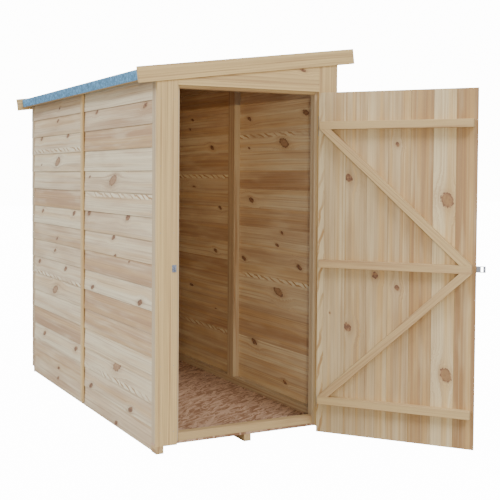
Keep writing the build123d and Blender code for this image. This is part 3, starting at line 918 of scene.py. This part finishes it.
class SHED_OT_roof(bpy.types.Operator):
    """Roof boards and the felt over them"""

    bl_idname = "shed.roof"
    bl_label = "Roof"

    KNOT_SIZE = 0.011
    FELT_THICKNESS = 0.002
    # Points across the felt's flat top, and sections along it
    ACROSS, ALONG = 24, 60

    def execute(self, context):
        self.boards(context.scene.shed_sizes)
        self.felt(context.scene.shed_sizes)
        return {"FINISHED"}

    def roof_frame(self, node):
        """The node's reach up the slope and off it, along with its two ends."""
        points = mesh_points(frame["nodes"][node].data)
        up, off = np.array(UP_ROOF), np.array(OFF_ROOF)
        return up, off, points @ up, points @ off, points[:, 1]

    def carried(self, outline, up, off, ends):
        """An outline up and off the slope, carried along the roof."""
        sections = outline[None, :, :1] * up + outline[None, :, 1:] * off
        return prism(outward(sections + ends[:, None, None] * np.array(ALONG_Y)))

    def boards(self, sizes):
        """Matched boards side by side from the low edge of the roof to the high one."""
        up, off, reach, lift, run = self.roof_frame("roof_boards")
        draw = np.random.default_rng(SEED)
        count = max(1, round((reach.max() - reach.min()) / sizes.roof_board))
        joints = np.linspace(reach.min(), reach.max(), count + 1)
        made = []
        ends, under = np.array([run.min(), run.max()]), lift.min()
        for number, (u0, u1) in enumerate(zip(joints[:-1], joints[1:])):
            outline = matched_section(sizes, u0, u1, under, lift.max(), number > 0, number < count - 1)
            points, faces = self.carried(outline, up, off, ends)
            grain = grain_places(points, ALONG_Y, up, off, (u0 + u1) / 2, under, MATCHED_SHIFT, draw)
            knots = [(up * draw.uniform(u0, u1) + off * under + np.array(ALONG_Y) * draw.uniform(*ends),
                      self.KNOT_SIZE) for _ in range(2)]
            wood = board_wood(points, grain, draw.uniform(0.1, 0.9), ALONG_Y, up, knots)
            made.append((points, faces, wood))
        vertices, faces, wood = join_boards(made)
        add_piece("roof_boarding", vertices, faces, wood_material("roof_boarding"), "shed",
                  ["roof_boards"], wood=wood)

    def felt(self, sizes):
        """The sheet's outline round both long edges of the roof, carried from end to end."""
        up, off, reach, lift, run = self.roof_frame("roof_felt")
        u0, u1, w0, w1 = reach.min(), reach.max(), lift.min(), lift.max()
        radius = sizes.felt_fold
        turn = np.linspace(0.0, math.pi / 2, 7)

        def path(inset, r):
            level = w1 - inset - r
            low = np.stack([u0 + inset + r - r * np.cos(turn), level + r * np.sin(turn)], axis=1)
            top = np.stack([np.linspace(low[-1, 0], u1 - inset - r, self.ACROSS + 2)[1:-1],
                            np.full(self.ACROSS, w1 - inset)], axis=1)
            high = np.stack([u1 - inset - r + r * np.sin(turn), level + r * np.cos(turn)], axis=1)
            return np.concatenate([[[u0 + inset, w0]], low, top, high, [[u1 - inset, w0]]])

        outer, inner = path(0.0, radius), path(self.FELT_THICKNESS, radius - self.FELT_THICKNESS)
        outline = np.concatenate([outer, inner[::-1]])
        ends = np.linspace(run.min(), run.max(), self.ALONG)
        vertices, faces = self.carried(outline, up, off, ends)
        add_piece("felt_sheet", vertices, faces, felt_material(), "shed", ["roof_felt"], 50.0)


class SHED_OT_floor(bpy.types.Operator):
    """Strand board floor"""

    bl_idname = "shed.floor"
    bl_label = "Floor"

    EDGE = 0.0006

    def execute(self, context):
        dressed("floor_board", strand_material(), self.EDGE)
        return {"FINISHED"}


class SHED_OT_door(bpy.types.Operator):
    """Upright door boards, ledges and braces"""

    bl_idname = "shed.door"
    bl_label = "Door"

    # How much heartwood each door board has, from the hinges to the free edge
    BOARD_TONES = (0.05, 0.32, 0.48, 0.45, 0.48, 0.80, 0.0, 1.0)
    # The door's knots: distance from the hinge edge, height and half width
    KNOTS = ((0.141, 1.171, 0.0155), (0.141, 0.502, 0.0165), (0.571, 1.079, 0.026),
             (0.575, 0.325, 0.025), (0.356, 1.318, 0.009), (0.264, 0.741, 0.012), (0.362, 0.690, 0.011),
             (0.350, 0.209, 0.005), (0.514, 0.813, 0.007), (0.060, 0.561, 0.004))
    # Distance from the hinge edge of the line of dashed figure, and its half width
    FIGURE_PLACE, FIGURE_WIDTH = 0.015, 0.018
    KNOT_STRETCH, KNOT_LEAN = 1.2, 0.3
    # Least width of the board at the free edge, sections up each board, and the start of the draws
    LEAST_WIDTH, SECTIONS, DRAWS = 0.02, 9, SEED + 3

    def execute(self, context):
        sizes = context.scene.shed_sizes
        self.boards(sizes)
        material = wood_material("sawn_framing")
        level = opened(ALONG_X)
        for node in ("door_ledge_bottom", "door_ledge_middle", "door_ledge_top"):
            dressed(node, material, sizes.edge, level)
        low, top = shut_box("door_brace_upper")
        rise = math.atan2(top[2] - low[2], top[0] - low[0])
        for node, turn in (("door_brace_upper", rise), ("door_brace_lower", -rise)):
            dressed(node, material, sizes.edge, opened((math.cos(turn), 0.0, math.sin(turn))))
        return {"FINISHED"}

    def boards(self, sizes):
        """Each board's outline, with a small V at its joints, carried up the door."""
        low, top = shut_box("door_boards")
        edges = np.arange(top[0] - sizes.door_first, low[0] + self.LEAST_WIDTH, -sizes.door_board)
        edges = np.concatenate([[top[0]], edges, [low[0]]])
        draw = np.random.default_rng(self.DRAWS)
        heights = np.linspace(low[2], top[2], self.SECTIONS)
        made = []
        for number, (right, left) in enumerate(zip(edges[:-1], edges[1:])):
            outline = matched_section(sizes, left, right, low[1], top[1], left > low[0], number > 0)
            flat = np.concatenate([outline, np.zeros((len(outline), 1))], axis=1)
            sections = flat[None] + heights[:, None, None] * np.array(UPRIGHT)
            points, faces = prism(outward(sections))
            grain = grain_places(points, UPRIGHT, ALONG_X, ALONG_Y, (left + right) / 2, low[1],
                                 MATCHED_SHIFT, draw)
            knots = [((top[0] - across, top[1], z), size) for across, z, size in self.KNOTS
                     if left <= top[0] - across < right]
            line = top[0] - self.FIGURE_PLACE
            figure = ((line, 0.0, 0.0), self.FIGURE_WIDTH) if left <= line < right else None
            wood = board_wood(points, grain, self.BOARD_TONES[number % len(self.BOARD_TONES)], UPRIGHT,
                              ALONG_X, knots, figure, self.KNOT_STRETCH, self.KNOT_LEAN)
            made.append((turned(points, OPEN_ANGLE), faces, wood))
        vertices, faces, wood = join_boards(made)
        add_piece("door_boarding", vertices, faces, wood_material("door_boards"), "door",
                  ["door_boards"], wood=wood)


class SHED_OT_fittings(bpy.types.Operator):
    """T hinges, hasp, staple and their screws"""

    bl_idname = "shed.fittings"
    bl_label = "Fittings"

    # Places of a strap's screws, as shares of its length from the tip
    STRAP_SCREWS = (0.07, 0.34, 0.62)
    # A hinge plate's screws: distance from its outer edge, and heights from its middle
    PLATE_EDGE, PLATE_SCREWS = 0.010, (-0.033, -0.011, 0.011, 0.033)
    # The hasp plate's screws: distances from its edge, and heights from its middle
    HASP_SCREWS, HASP_RISE = (0.007, 0.021), (-0.008, 0.008)
    STAPLE_RISE = (-0.0122, 0.0122)
    # Thickness of the straps, the hinge plates and the staple's plate, and of the hasp's plate
    STEEL, HASP_STEEL = 0.002, 0.003
    # Size of the door's screws and of the posts' over the screw in the settings
    DOOR_SHARE, POST_SHARE = 0.8, 0.72

    def execute(self, context):
        sizes = context.scene.shed_sizes
        material = steel_material()
        for node in ("hinge_strap_bottom", "hinge_strap_top", "hinge_plate_bottom", "hinge_plate_top",
                     "hasp_plate", "hasp_leaf", "hasp_staple"):
            dressed(node, material, sizes.metal_edge)
        out, door_face = (0.0, -1.0, 0.0), shut_box("door_boards")[0][1]
        door_places, post_places = [], []
        for end in ("bottom", "top"):
            low, top = shut_box(f"hinge_strap_{end}")
            level = (low[2] + top[2]) / 2
            door_places += [(low[0] + share * (top[0] - low[0]), door_face - self.STEEL, level)
                            for share in self.STRAP_SCREWS]
            low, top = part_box(f"hinge_plate_{end}")
            level = (low.z + top.z) / 2
            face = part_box("front_trim_high")[0].y - self.STEEL
            post_places += [(top.x - self.PLATE_EDGE, face, level + step) for step in self.PLATE_SCREWS]
        low, top = shut_box("hasp_plate")
        level = (low[2] + top[2]) / 2
        door_places += [(top[0] - along, door_face - self.HASP_STEEL, level + step)
                        for along in self.HASP_SCREWS for step in self.HASP_RISE]
        low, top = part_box("hasp_staple")
        level, middle = (low.z + top.z) / 2, (low.x + top.x) / 2
        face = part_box("front_trim_low")[0].y - self.STEEL
        post_places += [(middle, face, level + step) for step in self.STAPLE_RISE]
        domed_heads("door_screws", turned(door_places, OPEN_ANGLE), [opened(out)] * len(door_places),
                    sizes.screw * self.DOOR_SHARE, material, "door")
        domed_heads("post_screws", post_places, [out] * len(post_places),
                    sizes.screw * self.POST_SHARE, material, "shed")
        return {"FINISHED"}


class SHED_OT_nails(bpy.types.Operator):
    """Nail heads in the boards and trims"""

    bl_idname = "shed.nails"
    bl_label = "Nails"

    ROWS = range(1, 16)
    # Half a stud, a nail row's distance from the joint of two panels, and a nail's height above its
    # board's lower edge
    HALF_STUD, FROM_JOINT, RISE = 0.0175, 0.028, 0.022
    # A trim's nails: distance from its edges, its foot and the low side's top, and their number
    TRIM_EDGE, TRIM_FOOT, TRIM_HEAD, TRIM_NAILS = 0.018, 0.06, 0.12, 6

    def execute(self, context):
        sizes, stud = context.scene.shed_sizes, self.HALF_STUD
        heights = [sizes.first_lap + row * sizes.board_cover + self.RISE for row in self.ROWS]
        depth = sizes.lap_step * self.RISE / sizes.board_cover
        front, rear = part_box("low_wall_cladding_front")[0].y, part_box("low_wall_cladding_rear")[1].y
        places, normals = [], []
        for face_x, sign in ((LOW_X, -1.0), (HIGH_X, 1.0)):
            for y in (front + stud, -self.FROM_JOINT, self.FROM_JOINT, rear - stud):
                places += [(face_x - sign * depth, y, z) for z in heights]
                normals += [(sign, 0.0, 0.0)] * len(heights)
        for x in (LOW_X + stud, 0.0, HIGH_X - stud):
            places += [(x, REAR_TOP.y - depth, z) for z in heights]
            normals += [ALONG_Y] * len(heights)
        front_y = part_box("front_trim_low")[0].y
        for node in ("front_trim_low", "front_trim_high"):
            low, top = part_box(node)
            levels = np.linspace(low.z + self.TRIM_FOOT, LOW_HEIGHT - self.TRIM_HEAD, self.TRIM_NAILS)
            for x in (low.x + self.TRIM_EDGE, top.x - self.TRIM_EDGE):
                places += [(x, front_y, z) for z in levels]
                normals += [(0.0, -1.0, 0.0)] * len(levels)
        domed_heads("nail_heads", places, normals, sizes.nail, steel_material(), "shed")
        return {"FINISHED"}


class SHED_OT_stage(bpy.types.Operator):
    """Studio floor, soft light and the camera"""

    bl_idname = "shed.stage"
    bl_label = "Stage"

    FLOOR_REACH = 30.0
    # Brightness of the floor and the backdrop for the camera alone, and of the sky for the shed
    BACKDROP, SKY = 14.0, 0.60
    SKY_COLOUR = (1.0, 0.99, 0.97, 1.0)
    # Soft suns with their energy and aim: on the low side, on the door end, and a weak one on the sides
    # that the photo hides
    SUNS = (("side_sun", 2.5, (0.70, -0.25, -0.67)), ("front_sun", 1.9, (-0.05, 0.66, -0.75)),
            ("back_sun", 1.0, (-0.62, -0.45, -0.64)))
    SUN_ANGLE, SUN_PLACE = 26.0, (0.0, 0.0, 4.0)
    # The doorway's lamp: its size, its turn to the left of the door end, its distance and its height
    LAMP_SIZE, LAMP_TURN, LAMP_DISTANCE, LAMP_HEIGHT = (0.45, 0.04), 27.5, 6.5, 1.44
    DOORWAY_Y, LAMP_ENERGY, LAMP_COLOUR = -0.9, 155.0, (1.0, 0.80, 0.50)
    FILL_PLACE, FILL_RADIUS = (-0.15, 0.05, 1.30), 0.22
    FILL_ENERGY, FILL_COLOUR = 1.05, (1.0, 0.60, 0.29)
    # The photograph's camera: where it stands, its turns in degrees, and the picture in pixels
    CAMERA_PLACE = (-1.99883, -4.48419, 1.1783)
    YAW, PITCH_DOWN, ROLL = 25.609, 2.156, 0.2427
    PICTURE, FOCAL, MIDDLE_X, MIDDLE_Y = 500.0, 926.386, 189.63, 210.577

    def execute(self, context):
        self.floor(context.scene.shed_colours)
        self.lights(context.scene)
        self.camera(context.scene)
        return {"FINISHED"}

    def floor(self, colours):
        corners = [(x * self.FLOOR_REACH, y * self.FLOOR_REACH, 0.0)
                   for x, y in ((-1, -1), (1, -1), (1, 1), (-1, 1))]
        mesh = bpy.data.meshes.new("studio_floor")
        mesh.from_pydata(corners, [], [(0, 1, 2, 3)])
        material, n, shader = start_material("studio_floor")
        shader.inputs["Base Color"].default_value = rgba(colours.stage)
        shader.inputs["Roughness"].default_value = 0.9
        shader.inputs["Emission Color"].default_value = (1.0, 1.0, 1.0, 1.0)
        seen = n.add("ShaderNodeLightPath").outputs["Is Camera Ray"]
        n.set(shader.inputs["Emission Strength"], n.times(seen, self.BACKDROP))
        mesh.materials.append(material)
        floor = bpy.data.objects.new("studio_floor", mesh)
        bpy.context.scene.collection.objects.link(floor)

    def lights(self, scene):
        world = bpy.data.worlds.new("studio_light")
        world.use_nodes = True
        background = world.node_tree.nodes["Background"]
        background.inputs[0].default_value = self.SKY_COLOUR
        n = Nodes(world.node_tree)
        seen = n.add("ShaderNodeLightPath").outputs["Is Camera Ray"]
        n.set(background.inputs[1], n.ramp(seen, 0.0, 1.0, self.SKY, self.BACKDROP))
        scene.world = world
        for name, energy, aim in self.SUNS:
            sun = self.light(name, "SUN", energy, (1.0, 1.0, 1.0))
            sun.angle = math.radians(self.SUN_ANGLE)
            self.hang(scene, sun, self.SUN_PLACE, aim)
        # A low wide lamp beside the camera shines through the doorway, and the door head's shadow ends
        # on the high wall
        lamp = self.light("doorway_lamp", "AREA", self.LAMP_ENERGY, self.LAMP_COLOUR)
        lamp.shape = "RECTANGLE"
        lamp.size, lamp.size_y = self.LAMP_SIZE
        turn = math.radians(self.LAMP_TURN)
        aim = np.array((math.sin(turn), math.cos(turn), 0.0))
        doorway = np.array((0.0, self.DOORWAY_Y, self.LAMP_HEIGHT))
        self.hang(scene, lamp, doorway - self.LAMP_DISTANCE * aim, aim)
        fill = self.light("room_fill", "POINT", self.FILL_ENERGY, self.FILL_COLOUR)
        fill.shadow_soft_size = self.FILL_RADIUS
        self.hang(scene, fill, self.FILL_PLACE, (0.0, 0.0, -1.0))

    def light(self, name, kind, energy, tint):
        light = bpy.data.lights.new(name, kind)
        light.energy, light.color = energy, tint
        return light

    def hang(self, scene, light, place, aim):
        """A lamp at a place, aimed along a direction, that the camera doesn't see."""
        lamp = bpy.data.objects.new(light.name, light)
        lamp.rotation_euler = Vector(aim).to_track_quat("-Z", "Y").to_euler()
        lamp.location = place
        lamp.visible_camera = False
        scene.collection.objects.link(lamp)

    def camera(self, scene):
        """The photograph's camera: yaw to the right, a little pitch and roll, and the lens's shift."""
        yaw, pitch, roll = (math.radians(turn) for turn in (self.YAW, self.PITCH_DOWN, self.ROLL))
        level = np.array([math.sin(yaw), math.cos(yaw), 0.0])
        forward = level * math.cos(pitch) - np.array(UPRIGHT) * math.sin(pitch)
        right = np.array([math.cos(yaw), -math.sin(yaw), 0.0])
        up = np.cross(right, forward)
        side = math.cos(roll) * right + math.sin(roll) * up
        top = -math.sin(roll) * right + math.cos(roll) * up
        data = bpy.data.cameras.new("photo_camera")
        data.sensor_width = 36.0
        data.lens = self.FOCAL / self.PICTURE * data.sensor_width
        data.shift_x = (self.PICTURE / 2 - self.MIDDLE_X) / self.PICTURE
        data.shift_y = (self.MIDDLE_Y - self.PICTURE / 2) / self.PICTURE
        data.clip_end = 100.0
        camera = bpy.data.objects.new("photo_camera", data)
        turn = Matrix([side, top, -forward]).transposed().to_4x4()
        camera.matrix_world = Matrix.Translation(self.CAMERA_PLACE) @ turn
        scene.collection.objects.link(camera)
        scene.camera = camera


class SHED_PT_panel(bpy.types.Panel):
    """Lists the shed's parts in the sidebar"""

    bl_label = "Pent shed"
    bl_idname = "SHED_PT_panel"
    bl_space_type = "VIEW_3D"
    bl_region_type = "UI"
    bl_category = "Shed"

    def draw(self, context):
        for operator in OPERATORS:
            self.layout.operator(operator.bl_idname)
        for settings in (context.scene.shed_sizes, context.scene.shed_colours):
            for key in settings.__annotations__:
                self.layout.prop(settings, key)


OPERATORS = (SHED_OT_side_boards, SHED_OT_framing, SHED_OT_trims, SHED_OT_roof, SHED_OT_floor,
             SHED_OT_door, SHED_OT_fittings, SHED_OT_nails, SHED_OT_stage)
CLASSES = (ShedSizes, ShedColours, *OPERATORS, SHED_PT_panel)


def register():
    for item in CLASSES:
        bpy.utils.register_class(item)
    bpy.types.Scene.shed_sizes = PointerProperty(type=ShedSizes)
    bpy.types.Scene.shed_colours = PointerProperty(type=ShedColours)


def unregister():
    del bpy.types.Scene.shed_colours
    del bpy.types.Scene.shed_sizes
    for item in reversed(CLASSES):
        bpy.utils.unregister_class(item)


def main():
    register()
    for operator in OPERATORS:
        area, call = operator.bl_idname.split(".")
        getattr(getattr(bpy.ops, area), call)()


if __name__ == "__main__":
    main()
